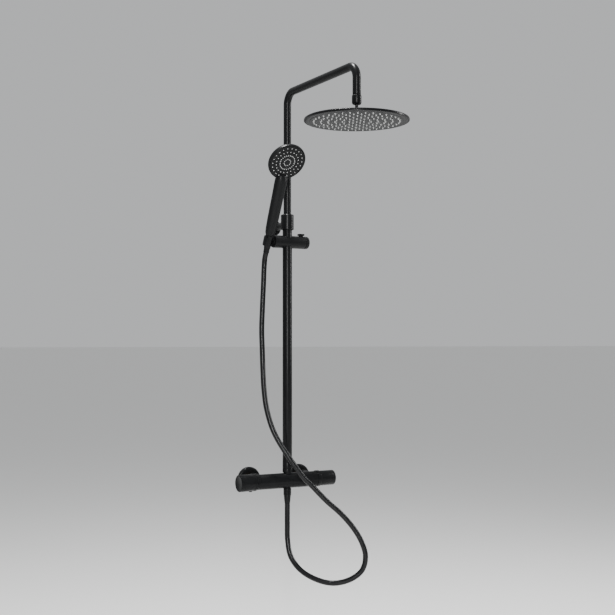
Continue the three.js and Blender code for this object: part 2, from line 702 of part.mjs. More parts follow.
// From the cone, straight down its axis, then hanging, across in front of the riser and the bar,
// round the loop and up into the outlet.
const alongCone = (distance) => [
  -holderPlace, -reach + distance * Math.sin(holderLean), sliderHeight - distance * Math.cos(holderLean)];
const hoseRoute = [
  alongCone(-coneBottom + 12.6),
  alongCone(48),
  [-56, -57, 562],
  [-56.5, -55, 525],
  [-60, -56, 464],
  [-64, -59, 398],
  [-65, -64, 346],
  [-66, -70, 293],
  [-67, -77, 249],
  [-66, -87, 202],
  [-61, -97, 164],
  [-55, -105, 138],
  [-45, -113, 112],
  [-34, -121, 90],
  [-20, -130, 65],
  [-4, -139, 39],
  [12, -147, 15],
  [33, -158, -9],
  [64, -176, -46],
  [99, -196, -82],
  [126, -213, -119],
  [143, -226, -156],
  [150, -231, -190],
  [143, -227, -224],
  [118, -213, -248],
  [80, -187, -260],
  [45, -157, -252],
  [17, -124, -231],
  [2, -98, -199],
  [0, -84, -160],
  [0, -reach, -110],
  [0, -reach, -ferruleEnd - gap],
];
const hosePoints = hoseRoute.map((point) => new THREE.Vector3(...point));
const hosePath = new THREE.CatmullRomCurve3(hosePoints, false, 'centripetal');
piece(column, 'hose_tube', 'blackPlastic', sweep(circle(hoseRadius, hoseSides), hosePath, hoseSteps));

export default column;
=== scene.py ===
# %% [markdown]
# # A rainfall shower column
# The real column is a thermostatic bar on the wall, a riser with a wide rain head on a curved arm, and
# a hand shower that hangs in a tilting holder. The CAD frame holds every place and every joint. Here
# each visible piece is made again with smooth round surfaces, and is given its finish.

# %% Load the frame
import json
import math

import bpy
from mathutils import Matrix, Vector


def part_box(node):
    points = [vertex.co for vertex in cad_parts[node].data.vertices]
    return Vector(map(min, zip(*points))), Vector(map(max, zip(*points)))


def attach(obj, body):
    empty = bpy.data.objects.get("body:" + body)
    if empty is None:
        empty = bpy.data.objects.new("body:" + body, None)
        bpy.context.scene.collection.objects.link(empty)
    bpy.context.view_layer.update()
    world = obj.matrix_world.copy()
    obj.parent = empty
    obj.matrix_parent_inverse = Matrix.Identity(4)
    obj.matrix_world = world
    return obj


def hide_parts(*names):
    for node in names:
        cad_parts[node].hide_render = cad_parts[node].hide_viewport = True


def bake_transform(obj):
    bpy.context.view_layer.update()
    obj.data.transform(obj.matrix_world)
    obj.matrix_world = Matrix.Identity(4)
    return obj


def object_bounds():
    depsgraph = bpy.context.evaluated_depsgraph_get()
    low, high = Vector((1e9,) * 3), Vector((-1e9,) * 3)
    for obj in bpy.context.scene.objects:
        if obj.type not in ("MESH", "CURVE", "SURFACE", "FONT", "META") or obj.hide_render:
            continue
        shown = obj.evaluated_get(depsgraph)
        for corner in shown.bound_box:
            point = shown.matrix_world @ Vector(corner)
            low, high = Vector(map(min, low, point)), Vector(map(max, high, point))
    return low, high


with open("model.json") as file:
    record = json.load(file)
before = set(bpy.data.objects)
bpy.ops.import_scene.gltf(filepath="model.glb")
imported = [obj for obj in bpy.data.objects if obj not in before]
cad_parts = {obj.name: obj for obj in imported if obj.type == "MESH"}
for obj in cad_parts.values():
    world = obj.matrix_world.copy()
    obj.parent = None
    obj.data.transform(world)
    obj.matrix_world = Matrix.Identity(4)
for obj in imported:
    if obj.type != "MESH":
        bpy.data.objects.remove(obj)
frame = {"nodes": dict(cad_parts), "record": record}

cad_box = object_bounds()
BODY_OF = {node: body for body, nodes in frame["record"]["behaviour"]["bodies"].items() for node in nodes}
MM = 0.001
X, Y, Z = 0, 1, 2

# %% [markdown]
# ## Camera
# The camera stands level, to the left of the column, and looks slightly to the right. A level camera
# keeps the riser upright in the picture, and a small shift up takes in the rain head without tilting.

# %% Camera
CAMERA_AT = (-1.348, -2.630, 0.365)
CAMERA_TURN = -28.94  # degrees
LENS = 63.9
SHIFT_UP = 0.0562
camera_data = bpy.data.cameras.new("camera")
camera = bpy.data.objects.new("camera", camera_data)
bpy.context.scene.collection.objects.link(camera)
camera.location = CAMERA_AT
camera.rotation_euler = (math.radians(90), 0, math.radians(CAMERA_TURN))
camera_data.lens = LENS
camera_data.shift_y = SHIFT_UP
bpy.context.scene.camera = camera
print("camera", [round(v, 2) for v in camera.location])

# %% [markdown]
# ## Floor and light
# A pale floor lies well below the column, which hangs on a wall that isn't shown. Matte black shows
# its shape only by reflections. A lamp overhead lights the tops of the arm and the slider, a narrow
# upright one on the left draws a thin bright line down each tube, and a weak one on the right parts
# the dark edges from the background.

# %% Floor, sky and lamps
FLOOR_DROP = 0.36
FLOOR_SIZE = 400
FLOOR_COLOUR = (0.86, 0.86, 0.85, 1)
SKY_COLOUR = (0.72, 0.73, 0.74, 1)
SKY_STRENGTH = 0.75
bpy.ops.object.select_all(action="DESELECT")
bpy.ops.mesh.primitive_plane_add(size=FLOOR_SIZE, location=(0, 0, cad_box[0][Z] - FLOOR_DROP))
floor = bpy.context.object
floor.name = "floor"
floor_material = bpy.data.materials.new("pale_floor")
floor_material.use_nodes = True
floor_shader = floor_material.node_tree.nodes["Principled BSDF"]
floor_shader.inputs["Base Color"].default_value = FLOOR_COLOUR
floor_shader.inputs["Roughness"].default_value = 0.9
floor.data.materials.append(floor_material)

world = bpy.data.worlds.new("studio")
world.use_nodes = True
sky = world.node_tree.nodes["Background"]
sky.inputs["Color"].default_value = SKY_COLOUR
sky.inputs["Strength"].default_value = SKY_STRENGTH
bpy.context.scene.world = world


def lamp(name, place, target, size, power):
    data = bpy.data.lights.new(name, "AREA")
    data.shape = "RECTANGLE"
    data.size, data.size_y = size
    data.energy = power
    lamp_object = bpy.data.objects.new(name, data)
    lamp_object.location = place
    away = Vector(place) - Vector(target)
    lamp_object.rotation_euler = away.to_track_quat("Z", "Y").to_euler()
    bpy.context.scene.collection.objects.link(lamp_object)


lamp("overhead", (-0.25, -0.1, 2.5), (-0.1, -0.2, 0.6), (0.35, 0.35), 110)
lamp("line", (-1.5, -2.9, 0.9), (0, -0.1, 0.4), (0.10, 2.0), 110)
lamp("edge", (2.4, -0.9, 1.2), (0, -0.2, 0.4), (0.20, 2.2), 55)
print("lamps", len(bpy.data.lights))

# %% [markdown]
# ## Finishes
# The whole column has one satin black coating, with the faint grain that powder paint leaves and a few
# dried water marks. Two shader groups give those effects, so that every finish can use them with its
# own size and strength. They put out only masks and heights, and the shader stays in the material.

# %% The grain group


def new_group(name, inputs, outputs):
    group = bpy.data.node_groups.new(name, "ShaderNodeTree")
    for socket, value in inputs:
        item = group.interface.new_socket(socket, in_out="INPUT", socket_type="NodeSocketFloat")
        item.default_value = value
    for socket in outputs:
        group.interface.new_socket(socket, in_out="OUTPUT", socket_type="NodeSocketFloat")
    return group, group.nodes.new("NodeGroupInput"), group.nodes.new("NodeGroupOutput")


def grain_group():
    group, given, result = new_group("coating_grain", [("Scale", 900)], ["Height", "Cloud"])
    place = group.nodes.new("ShaderNodeTexCoord")
    fine = group.nodes.new("ShaderNodeTexNoise")
    fine.inputs["Detail"].default_value = 3
    broad = group.nodes.new("ShaderNodeTexNoise")
    broad.inputs["Scale"].default_value = 22
    broad.inputs["Detail"].default_value = 4
    link = group.links.new
    link(place.outputs["Object"], fine.inputs["Vector"])
    link(place.outputs["Object"], broad.inputs["Vector"])
    link(given.outputs["Scale"], fine.inputs["Scale"])
    link(fine.outputs["Fac"], result.inputs["Height"])
    link(broad.outputs["Fac"], result.inputs["Cloud"])
    return group


GRAIN = grain_group()
print("group", GRAIN.name)

# %% The water-mark group


def mark_group():
    group, given, result = new_group("water_marks", [("Scale", 60), ("Amount", 0.3)], ["Mask"])
    place = group.nodes.new("ShaderNodeTexCoord")
    drops = group.nodes.new("ShaderNodeTexVoronoi")
    edge = group.nodes.new("ShaderNodeMapRange")
    edge.inputs["From Min"].default_value = 0.22
    edge.inputs["From Max"].default_value = 0.30
    patches = group.nodes.new("ShaderNodeTexNoise")
    patches.inputs["Scale"].default_value = 9
    where = group.nodes.new("ShaderNodeMapRange")
    where.inputs["From Min"].default_value = 0.52
    where.inputs["From Max"].default_value = 0.68
    both = group.nodes.new("ShaderNodeMath")
    both.operation = "MULTIPLY"
    some = group.nodes.new("ShaderNodeMath")
    some.operation = "MULTIPLY"
    link = group.links.new
    link(place.outputs["Object"], drops.inputs["Vector"])
    link(place.outputs["Object"], patches.inputs["Vector"])
    link(given.outputs["Scale"], drops.inputs["Scale"])
    link(drops.outputs["Distance"], edge.inputs["Value"])
    link(patches.outputs["Fac"], where.inputs["Value"])
    link(edge.outputs["Result"], both.inputs[0])
    link(where.outputs["Result"], both.inputs[1])
    link(both.outputs["Value"], some.inputs[0])
    link(given.outputs["Amount"], some.inputs[1])
    link(some.outputs["Value"], result.inputs["Mask"])
    return group


MARKS = mark_group()
print("group", MARKS.name)

# %% [markdown]
# A finish mixes two near colours by the broad cloud, so that it is never one flat colour, and the
# cloud and the marks move the roughness a little. The grain goes through a Bump node.

# %% One finish from its values
GLOSS_SWING = 0.06
BUMP_STRENGTH = 0.35


def finish(name, dark, light, rough, metal=0.0, shine=0.5, grain=900, depth=0.01, marks=0.0):
    material = bpy.data.materials.new(name)
    material.use_nodes = True
    nodes, link = material.node_tree.nodes, material.node_tree.links.new
    shader = nodes["Principled BSDF"]
    shader.inputs["Metallic"].default_value = metal
    shader.inputs["Specular IOR Level"].default_value = shine
    surface = nodes.new("ShaderNodeGroup")
    surface.node_tree = GRAIN
    surface.inputs["Scale"].default_value = grain
    spots = nodes.new("ShaderNodeGroup")
    spots.node_tree = MARKS
    spots.inputs["Amount"].default_value = marks
    colour = nodes.new("ShaderNodeMix")
    colour.data_type = "RGBA"
    colour.inputs[6].default_value = (*dark, 1)
    colour.inputs[7].default_value = (*light, 1)
    gloss = nodes.new("ShaderNodeMapRange")
    gloss.inputs["To Min"].default_value = rough - GLOSS_SWING
    gloss.inputs["To Max"].default_value = rough + GLOSS_SWING
    dulled = nodes.new("ShaderNodeMath")
    dulled.operation = "ADD"
    bump = nodes.new("ShaderNodeBump")
    bump.inputs["Strength"].default_value = BUMP_STRENGTH
    bump.inputs["Distance"].default_value = depth * MM
    link(surface.outputs["Cloud"], colour.inputs[0])
    link(colour.outputs[2], shader.inputs["Base Color"])
    link(surface.outputs["Cloud"], gloss.inputs["Value"])
    link(gloss.outputs["Result"], dulled.inputs[0])
    link(spots.outputs["Mask"], dulled.inputs[1])
    link(dulled.outputs["Value"], shader.inputs["Roughness"])
    link(surface.outputs["Height"], bump.inputs["Height"])
    link(bump.outputs["Normal"], shader.inputs["Normal"])
    return material


FINISHES = {
    "black_finish": finish("black_coating", (0.0035, 0.0037, 0.0040), (0.0065, 0.0067, 0.0071), 0.27,
                           shine=0.10, grain=1400, depth=0.004, marks=0.05),
    "black_plastic": finish("black_moulding", (0.0040, 0.0042, 0.0045), (0.0072, 0.0074, 0.0079), 0.33,
                            shine=0.10, grain=1000, depth=0.004, marks=0.04),
    "hose_black": finish("black_hose", (0.0040, 0.0042, 0.0045), (0.0072, 0.0074, 0.0079), 0.22,
                         shine=0.18, grain=700, depth=0.003, marks=0.03),
    "brass": finish("turned_brass", (0.42, 0.28, 0.10), (0.56, 0.40, 0.17), 0.33, metal=1, grain=500),
    "steel": finish("screw_steel", (0.42, 0.43, 0.44), (0.56, 0.57, 0.58), 0.30, metal=1, grain=700),
    "seal_rubber": finish("seal_rubber", (0.016, 0.016, 0.016), (0.03, 0.03, 0.03), 0.8,
                          grain=600, depth=0.03),
    "white_plastic": finish("white_moulding", (0.66, 0.66, 0.62), (0.78, 0.78, 0.75), 0.5, grain=800),
    "nozzle_silicone": finish("grey_silicone", (0.36, 0.365, 0.36), (0.46, 0.465, 0.46), 0.5, grain=900),
}
SLOT_OF = {row["node"]: row["material_slot"] for row in frame["record"]["subparts"]}
for node, cad_object in frame["nodes"].items():
    cad_object.data.materials.clear()
    cad_object.data.materials.append(FINISHES[SLOT_OF[node]])
print("finishes", len(FINISHES))

# %% [markdown]
# ## The hose
# The hose is one smooth tube of fixed length. It leaves the cone under the hand shower, hangs, crosses
# in front of the riser and the bar, turns in a loop and rises into the bar's outlet. The tube is cut into
# five stretches.

# %% Selecting one piece


def deselect():
    if bpy.context.object and bpy.context.object.mode != "OBJECT":
        bpy.ops.object.mode_set(mode="OBJECT")
    bpy.ops.object.select_all(action="DESELECT")


def only(piece):
    deselect()
    piece.select_set(True)
    bpy.context.view_layer.objects.active = piece


print("one piece at a time")

# %% The route, as the CAD has it, in metres
HOSE_RADIUS = 0.007
REACH = 0.082
HOLDER_AT = Vector((-0.056, -REACH, 0.629))
LEAN = math.radians(25.6)
CONE_AXIS = Vector((0, -math.sin(LEAN), math.cos(LEAN)))


def along_cone(distance):
    """A point below the holder's pivot, on the cone's axis."""
    return tuple(HOLDER_AT - CONE_AXIS * distance)


HOSE_ROUTE = [
    along_cone(0.0326), along_cone(0.048),
    (-0.056, -0.057, 0.562), (-0.0565, -0.055, 0.525), (-0.060, -0.056, 0.464), (-0.064, -0.059, 0.398),
    (-0.065, -0.064, 0.346), (-0.066, -0.070, 0.293), (-0.067, -0.077, 0.249), (-0.066, -0.087, 0.202),
    (-0.061, -0.097, 0.164), (-0.055, -0.105, 0.138), (-0.045, -0.113, 0.112), (-0.034, -0.121, 0.090),
    (-0.020, -0.130, 0.065), (-0.004, -0.139, 0.039), (0.012, -0.147, 0.015), (0.033, -0.158, -0.009),
    (0.064, -0.176, -0.046), (0.099, -0.196, -0.082), (0.126, -0.213, -0.119), (0.143, -0.226, -0.156),
    (0.150, -0.231, -0.190), (0.143, -0.227, -0.224), (0.118, -0.213, -0.248), (0.080, -0.187, -0.260),
    (0.045, -0.157, -0.252), (0.017, -0.124, -0.231), (0.002, -0.098, -0.199), (0, -0.084, -0.160),
    (0, -REACH, -0.110), (0, -REACH, -0.0603),
]
print("route points", len(HOSE_ROUTE))

# %% [markdown]
# A centripetal Catmull-Rom curve goes through every point without a loop or a corner. Its knots are
# spaced by the square root of the distance between points.

# %% The centreline


def between(a, b, t, start, end):
    """The point at t on the line that is at a when t is start and at b when t is end."""
    return (a * (end - t) + b * (t - start)) / (end - start)


def centripetal(points, steps):
    """Points on the curve, from the first given point to the last."""
    p = [Vector(q) for q in points]
    p = [2 * p[0] - p[1], *p, 2 * p[-1] - p[-2]]
    line = []
    for k in range(1, len(p) - 2):
        knots = [0.0]
        for a, b in ((k - 1, k), (k, k + 1), (k + 1, k + 2)):
            knots.append(knots[-1] + (p[b] - p[a]).length ** 0.5)
        for step in range(steps):
            t = knots[1] + (knots[2] - knots[1]) * step / steps
            row = p[k - 1:k + 3]
            for width in (1, 2):
                row = [between(row[i], row[i + 1], t, knots[i], knots[i + width])
                       for i in range(len(row) - 1)]
            line.append(between(*row, t, knots[1], knots[2]))
    line.append(p[-2])
    return line


def evenly(line, spacing):
    """The same line in equal steps."""
    lengths = [0.0]
    for a, b in zip(line, line[1:]):
        lengths.append(lengths[-1] + (b - a).length)
    count = round(lengths[-1] / spacing)
    even, at = [], 0
    for k in range(count + 1):
        wanted = lengths[-1] * k / count
        while at < len(line) - 2 and lengths[at + 1] < wanted:
            at += 1
        share = (wanted - lengths[at]) / (lengths[at + 1] - lengths[at])
        even.append(line[at].lerp(line[at + 1], share))
    return even, lengths[-1]


CURVE_STEPS = 12  # between two points of the route
RING_SPACING = 0.004
CENTRELINE, HOSE_LENGTH = evenly(centripetal(HOSE_ROUTE, CURVE_STEPS), RING_SPACING)
print("hose length", round(HOSE_LENGTH, 4), "m in", len(CENTRELINE), "points")

# %% A tube along part of the centreline


def tube_frames(line):
    """Two side directions at each point, carried along so that the tube never twists."""
    side = Vector((1, 0, 0))
    frames = []
    for k, point in enumerate(line):
        heading = (line[min(k + 1, len(line) - 1)] - line[max(k - 1, 0)]).normalized()
        side = (side - heading * side.dot(heading)).normalized()
        frames.append((point, side.copy(), heading.cross(side)))
    return frames


HOSE_FRAMES = tube_frames(CENTRELINE)
HOSE_SIDES = 24
SMOOTH_ANGLE = math.radians(30)


def hose_stretch(name, first, last):
    """The tube from one centreline point to another, closed at both ends."""
    corners, faces = [], []
    turns = [2 * math.pi * k / HOSE_SIDES for k in range(HOSE_SIDES)]
    for point, side, up in HOSE_FRAMES[first:last + 1]:
        corners += [point + HOSE_RADIUS * (math.cos(a) * side + math.sin(a) * up) for a in turns]
    rings = last - first + 1
    for ring in range(rings - 1):
        for k in range(HOSE_SIDES):
            here, there = ring * HOSE_SIDES, (ring + 1) * HOSE_SIDES
            after = (k + 1) % HOSE_SIDES
            faces.append((here + k, here + after, there + after, there + k))
    faces.append(tuple(reversed(range(HOSE_SIDES))))
    faces.append(tuple(range((rings - 1) * HOSE_SIDES, rings * HOSE_SIDES)))
    mesh = bpy.data.meshes.new(name)
    mesh.from_pydata(corners, [], faces)
    mesh.update()
    piece = bpy.data.objects.new(name, mesh)
    bpy.context.scene.collection.objects.link(piece)
    only(piece)
    bpy.ops.object.shade_smooth_by_angle(angle=SMOOTH_ANGLE)
    mesh.materials.append(FINISHES["hose_black"])
    return piece


# %% [markdown]
# The first cuts lie just under the hand shower, where the hose is nearly straight. The fourth stretch is
# the long one, down to the loop's lowest point.

# %% Five stretches
STRETCH = 22  # rings in each of the first three
cuts = [0, STRETCH, 2 * STRETCH, 3 * STRETCH]
loop_low = min(range(len(CENTRELINE)), key=lambda k: CENTRELINE[k].z)
cuts += [loop_low, len(CENTRELINE) - 1]
HOSE_PARTS = [
    ("hose_at_cone", "hand_shower", "holder"),
    ("hose_under_holder", "holder", "slider"),
    ("hose_beside_riser", "slider", "slider_bush"),
    ("hose_hanging", "slider_bush", "hose"),
    ("hose_return", "hose", "root"),
]
RETURN_TOP = -0.205  # the hose is still above this, next to the outlet
for (name, upper, lower), first, last in zip(HOSE_PARTS, cuts, cuts[1:]):
    stretch = hose_stretch(name, first, last)
    start, end = CENTRELINE[first], CENTRELINE[last]
    if name == "hose_hanging":
        end = Vector((start.x, start.y, CENTRELINE[loop_low].z + HOSE_RADIUS))
    if name == "hose_return":
        start, end = Vector((0, -REACH, RETURN_TOP)), Vector((0, -REACH, end.z))
    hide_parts("hose_tube")
    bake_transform(stretch)

# %% [markdown]
# ## Turned pieces
# Most pieces of a shower column are made on a lathe or drawn as tube. The same steps make them here:
# a circle is drawn at the first radius, then extruded and scaled from one station to the next. A
# wall closes on itself, a solid piece gets a face over each end. A small bevel breaks the edges, as
# a real edge is never sharp, and it catches the light that shows a black piece's outline.

# %% Modifiers, soft edges and the lathe
BEVEL_ANGLE = math.radians(28)


def add_modifier(piece, kind, **values):
    """Adds a modifier with its values and applies it."""
    only(piece)
    modifier = piece.modifiers.new(kind.lower(), kind)
    for name, value in values.items():
        setattr(modifier, name, value)
    bpy.ops.object.modifier_apply(modifier=modifier.name)


def soften(piece, width=0.35, segments=2):
    """Breaks the edges by a small bevel and shades the rest smooth."""
    if width:
        add_modifier(piece, "BEVEL", width=width * MM, segments=segments, limit_method="ANGLE",
                     angle_limit=BEVEL_ANGLE, use_clamp_overlap=True)
    only(piece)
    bpy.ops.object.shade_smooth_by_angle(angle=SMOOTH_ANGLE)


WELD = 1e-6


def weld_and_turn_out():
    """Joins doubled points in edit mode, turns the faces outwards and leaves edit mode."""
    bpy.ops.mesh.select_all(action="SELECT")
    bpy.ops.mesh.remove_doubles(threshold=WELD)
    bpy.ops.mesh.normals_make_consistent(inside=False)
    bpy.ops.object.mode_set(mode="OBJECT")


def lathe(name, stations, sides=96, closed=False):
    """A round piece about Z through the stations, each (radius, height) in mm."""
    deselect()
    radius, height = stations[0]
    bpy.ops.mesh.primitive_circle_add(vertices=sides, radius=radius * MM, location=(0, 0, height * MM))
    piece = bpy.context.object
    piece.name = name
    bpy.ops.object.transform_apply(location=True)
    bpy.ops.object.mode_set(mode="EDIT")
    bpy.ops.mesh.select_all(action="SELECT")
    if not closed:
        bpy.ops.mesh.edge_face_add()
    for next_radius, next_height in stations[1:] + (stations[:1] if closed else []):
        rise = (next_height - height) * MM
        bpy.ops.mesh.extrude_region_move(TRANSFORM_OT_translate={"value": (0, 0, rise)})
        share = next_radius / radius
        bpy.ops.transform.resize(value=(share, share, 1), center_override=(0, 0, next_height * MM))
        radius, height = next_radius, next_height
    weld_and_turn_out()
    return piece


def settle(piece, at=(0, 0, 0), turn=(0, 0, 0)):
    """Turns and moves a piece, and puts its place into its mesh."""
    piece.location = at
    piece.rotation_euler = turn
    only(piece)
    bpy.ops.object.transform_apply(location=True, rotation=True, scale=True)
    return piece


TO_X = (0, math.radians(90), 0)
TO_MINUS_X = (0, math.radians(-90), 0)
TO_MINUS_Y = (math.radians(90), 0, 0)
print("lathe ready")

# %% [markdown]
# A finished piece stands for its CAD node, rides on that node's body and takes that node's finish.

# %% Handing a piece over


def hand_over(piece, *nodes):
    body, slot = BODY_OF[nodes[0]], SLOT_OF[nodes[0]]
    piece.data.materials.clear()
    piece.data.materials.append(FINISHES[slot])
    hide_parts(*nodes)
    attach(piece, body)
    print(piece.name, "stands for", ", ".join(nodes), "-", len(piece.data.polygons), "faces")
    return piece


def combine(piece, other, operation):
    """Joins, or cuts away, another piece, which is used up."""
    add_modifier(piece, "BOOLEAN", object=other, operation=operation, solver="EXACT")
    bpy.data.objects.remove(other)
    return piece


def reach_of(node, axis):
    """A node's lowest and highest value along one axis, in mm."""
    low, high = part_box(node)
    return low[axis] / MM, high[axis] / MM


def half_width(node, axis):
    low, high = reach_of(node, axis)
    return (high - low) / 2


# %% [markdown]
# ## Riser
# Two drawn tubes, the upper sliding in the lower. A nut holds the connector on the bar.

# %% Lower riser, connector and nut
RISER_AT = Vector((0, -REACH, 0))
lower_from, lower_to = reach_of("lower_riser", Z)
lower_radius = half_width("lower_riser", X)
TUBE_WALL = 1.4
tube = lathe("lower_tube", [
    (lower_radius - TUBE_WALL, lower_from), (lower_radius, lower_from), (lower_radius, lower_to),
    (lower_radius - TUBE_WALL, lower_to),
], closed=True)
settle(tube, RISER_AT)
soften(tube)
hand_over(tube, "lower_riser")

connector_to = reach_of("riser_connector", Z)[1]
connector_radius = half_width("riser_connector", X)
CONNECTOR_FOOT = 29.6
CONNECTOR_BORE = 6
connector = lathe("tube_connector", [
    (8.5, CONNECTOR_FOOT), (8.5, 31.7), (connector_radius - 0.5, 31.7), (connector_radius, 32.2),
    (connector_radius, 46.4), (connector_radius - 0.4, 46.6), (connector_radius - 0.4, 47.4),
    (connector_radius, 47.6), (connector_radius, 50.5), (10.8, 50.5), (10.8, connector_to),
    (CONNECTOR_BORE, connector_to), (CONNECTOR_BORE, CONNECTOR_FOOT),
], closed=True)
settle(connector, RISER_AT)
soften(connector, 0.25)
hand_over(connector, "riser_connector")

nut_from, nut_to = reach_of("riser_nut", Z)
nut_radius = half_width("riser_nut", X)
NUT_THREAD = 10.3
NUT_LIP = 1.9
nut = lathe("tube_nut", [
    (NUT_THREAD, nut_from), (nut_radius - 0.8, nut_from), (nut_radius, nut_from + 0.8),
    (nut_radius, nut_to - 0.5), (nut_radius - 0.5, nut_to), (8.8, nut_to), (8.8, nut_to - NUT_LIP),
    (NUT_THREAD, nut_to - NUT_LIP),
], closed=True)
settle(nut, RISER_AT)
soften(nut, 0.25)
hand_over(nut, "riser_nut")

# %% [markdown]
# The upper riser, arm and drop are one bent tube. A circle is extruded up the riser, spun through a
# quarter turn, extruded along the arm, spun again and extruded down. The angle is negative so that the
# tube turns over towards the room, and the printed reach shows that it did. Solidify gives the wall.

# %% Upper riser and arm
UPPER_RADIUS = half_width("upper_riser", X)
low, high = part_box("upper_riser")
ARM_HEIGHT = high.z / MM - UPPER_RADIUS
ARM_REACH = -(low.y / MM + UPPER_RADIUS) - REACH / MM
UPPER_BOTTOM = low.z / MM
FITTING_FLANGE = 3.3  # between the ball nut and the end of the drop
DROP_END = reach_of("ball_nut", Z)[1] + FITTING_FLANGE
BEND = 32
BEND_STEPS = 20


def arm_tube():
    deselect()
    bpy.ops.mesh.primitive_circle_add(vertices=64, radius=UPPER_RADIUS * MM,
                                      location=(0, -REACH, UPPER_BOTTOM * MM))
    piece = bpy.context.object
    piece.name = "arm_tube"
    bpy.ops.object.transform_apply(location=True)
    bpy.ops.object.mode_set(mode="EDIT")
    bpy.ops.mesh.select_all(action="SELECT")
    corner = (ARM_HEIGHT - BEND) * MM

    def straight(y, z):
        bpy.ops.mesh.extrude_region_move(TRANSFORM_OT_translate={"value": (0, y * MM, z * MM)})

    def quarter(y):
        bpy.ops.mesh.spin(steps=BEND_STEPS, angle=math.radians(-90), center=(0, y, corner),
                          axis=(1, 0, 0))

    straight(0, ARM_HEIGHT - BEND - UPPER_BOTTOM)
    quarter(-REACH - BEND * MM)
    straight(2 * BEND - ARM_REACH, 0)
    quarter(-REACH - (ARM_REACH - BEND) * MM)
    straight(0, DROP_END - ARM_HEIGHT + BEND)
    weld_and_turn_out()
    return piece


arm = arm_tube()
print("arm reaches", [round(v, 4) for v in (min(v.co.y for v in arm.data.vertices),
                                            max(v.co.z for v in arm.data.vertices))], "CAD", low, high)
add_modifier(arm, "SOLIDIFY", thickness=TUBE_WALL * MM, offset=-1)
soften(arm, 0)
hand_over(arm, "upper_riser")

# %% [markdown]
# ## Wall bracket
# One casting: a collar that grips the riser's top and a post to the wall.

# %% Bracket and rosette
collar_from, collar_to = reach_of("riser_bracket", Z)
COLLAR_RADIUS = half_width("riser_bracket", X)
POST_HEIGHT = 674
POST_RADIUS = 10
POST_HOLE = 10.3  # in the rosette
RISER_HOLE = 12.8
ARM_HOLE = 10.3
GAP = 0.3
ROSETTE_DEPTH = 6
GRUB_HOLE = 2.8
collar = lathe("wall_bracket", [
    (RISER_HOLE, collar_from), (COLLAR_RADIUS - 1.2, collar_from), (COLLAR_RADIUS, collar_from + 1.2),
    (COLLAR_RADIUS, collar_to - 1.2), (COLLAR_RADIUS - 1.2, collar_to), (ARM_HOLE, collar_to),
    (ARM_HOLE, lower_to + GAP), (RISER_HOLE, lower_to + GAP),
], closed=True)
settle(collar, RISER_AT)
post = lathe("post", [(POST_RADIUS, 2 * GAP), (POST_RADIUS, REACH / MM - 13.5)], sides=64)
settle(post, (0, 0, POST_HEIGHT * MM), TO_MINUS_Y)
combine(collar, post, "UNION")
screw_low, screw_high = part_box("collar_grub_screw")
screw_at = (screw_low + screw_high) / 2
grub_hole = lathe("grub_hole", [(GRUB_HOLE, 10), (GRUB_HOLE, 20)], sides=32)
settle(grub_hole, (0, -REACH, screw_at.z), TO_X)
combine(collar, grub_hole, "DIFFERENCE")
soften(collar, 0.4, 3)
hand_over(collar, "riser_bracket")

rosette_radius = half_width("wall_rosette", X)
rosette = lathe("bracket_rosette", [
    (POST_HOLE, 0), (rosette_radius, 0), (rosette_radius, ROSETTE_DEPTH - 2),
    (rosette_radius - 2, ROSETTE_DEPTH), (POST_HOLE, ROSETTE_DEPTH),
], closed=True)
settle(rosette, (0, 0, POST_HEIGHT * MM), TO_MINUS_Y)
soften(rosette, 0.5, 3)
hand_over(rosette, "wall_rosette")

# %% [markdown]
# ## Bar
# A hollow bar with a raised ring at the flow end and turned rings at the temperature end.

# %% Bar with its inlets
BAR_RADIUS = half_width("flow_handle", Z)
BAR_HALF = 94.5
BAR_WALL = 3.5
BAR_BORE = BAR_RADIUS - BAR_WALL
RING_RADIUS = 21.5
RING_FROM = 85
GROOVE_DEPTH = 0.8
GROOVE_WIDTH = 2.2
LEFT_GROOVES = (-91.2, -85.8)
INLET_X = 75
STUB_RADIUS = 11
FLANGE_RADIUS = 13
IN_BAR_WALL = 18.2  # from the bar's axis, where a stub starts


def grooves(radius, places, depth=GROOVE_DEPTH, width=GROOVE_WIDTH):
    """Stations of turned grooves, each from its near edge to its far edge."""
    stations = []
    for place in places:
        stations += [(radius, place - width / 2), (radius - depth, place - width / 4),
                     (radius - depth, place + width / 4), (radius, place + width / 2)]
    return stations


bar = lathe("valve_bar", [
    (BAR_BORE, -BAR_HALF), (BAR_RADIUS - 0.5, -BAR_HALF), (BAR_RADIUS, -BAR_HALF + 0.5),
    *grooves(BAR_RADIUS, LEFT_GROOVES),
    (BAR_RADIUS, RING_FROM), (RING_RADIUS - 0.5, RING_FROM), (RING_RADIUS, RING_FROM + 0.5),
    (RING_RADIUS, BAR_HALF - 0.5), (RING_RADIUS - 0.5, BAR_HALF), (BAR_BORE, BAR_HALF),
], closed=True)
settle(bar, RISER_AT, TO_X)
for side in (-1, 1):
    inlet_x = side * INLET_X
    stub = lathe("inlet", [(STUB_RADIUS, 49.3), (STUB_RADIUS, REACH / MM - IN_BAR_WALL)], sides=64)
    settle(stub, (inlet_x * MM, 0, 0), TO_MINUS_Y)
    combine(bar, stub, "UNION")
    flange = lathe("inlet_flange", [(FLANGE_RADIUS, 43.1), (FLANGE_RADIUS, 49)], sides=64)
    settle(flange, (inlet_x * MM, 0, 0), TO_MINUS_Y)
    neck = lathe("inlet_neck", [(STUB_RADIUS, 46), (STUB_RADIUS, 52)], sides=64)
    settle(neck, (inlet_x * MM, 0, 0), TO_MINUS_Y)
    combine(flange, neck, "UNION")
    combine(bar, flange, "UNION")
